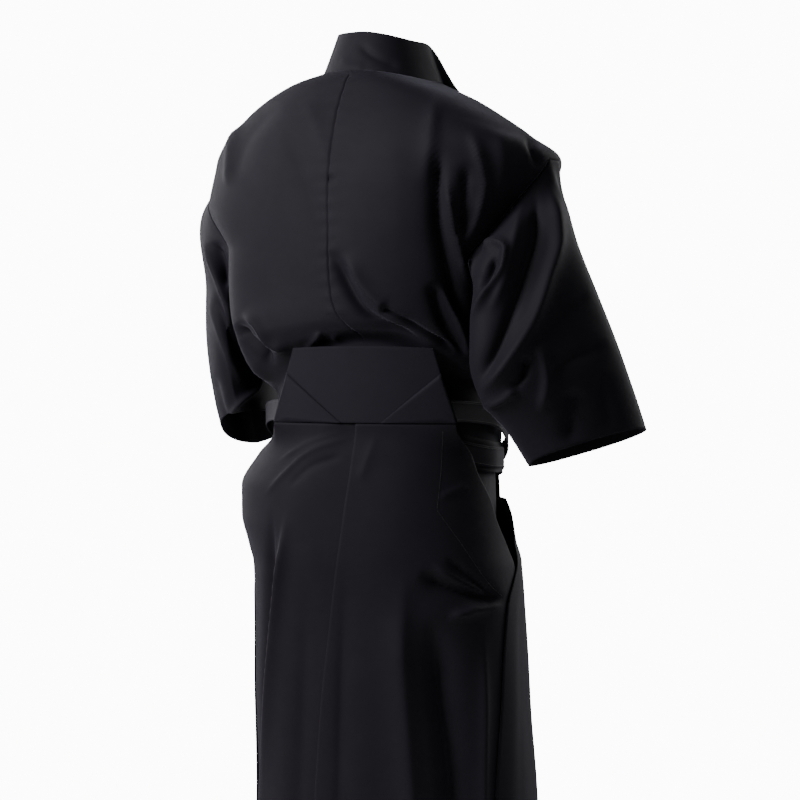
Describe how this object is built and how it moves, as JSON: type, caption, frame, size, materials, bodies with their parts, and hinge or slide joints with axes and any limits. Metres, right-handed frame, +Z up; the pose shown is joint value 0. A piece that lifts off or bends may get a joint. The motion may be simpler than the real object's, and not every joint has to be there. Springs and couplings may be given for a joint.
{
  "type": "iaido gi worn form",
  "caption": "Black martial arts uniform as it hangs when worn: crossed jacket with wide sleeves, sash, and pleated divided skirt with a stiff back board and ties.",
  "frame": {"origin": "the centre of the neck opening at the shoulder line, where the wearer's neck and shoulders carry the uniform", "axes": "+Z up, -Y towards the front that the jacket crosses over, +X towards the wearer's left"},
  "size_m": [0.6489, 0.3798, 1.4092],
  "materials": {
    "black_polyester_twill": "soft matt twill",
    "black_board_cover": "matt cloth over a stiff board"
  },
  "bodies": {
    "root": {"jacket_left": "black_polyester_twill", "jacket_right": "black_polyester_twill", "sleeve_left": "black_polyester_twill", "sleeve_right": "black_polyester_twill", "collar": "black_polyester_twill", "sash": "black_polyester_twill", "front_tie": "black_polyester_twill", "hakama_back_left": "black_polyester_twill", "hakama_back_right": "black_polyester_twill", "hakama_front_left": "black_polyester_twill", "hakama_front_right": "black_polyester_twill", "back_board": "black_board_cover", "board_corner_left": "black_board_cover", "board_corner_right": "black_board_cover", "back_tie_left": "black_polyester_twill", "back_tie_right": "black_polyester_twill", "tie_knot": "black_polyester_twill", "tie_end_left": "black_polyester_twill", "tie_end_right": "black_polyester_twill"}
  },
  "joints": []
}
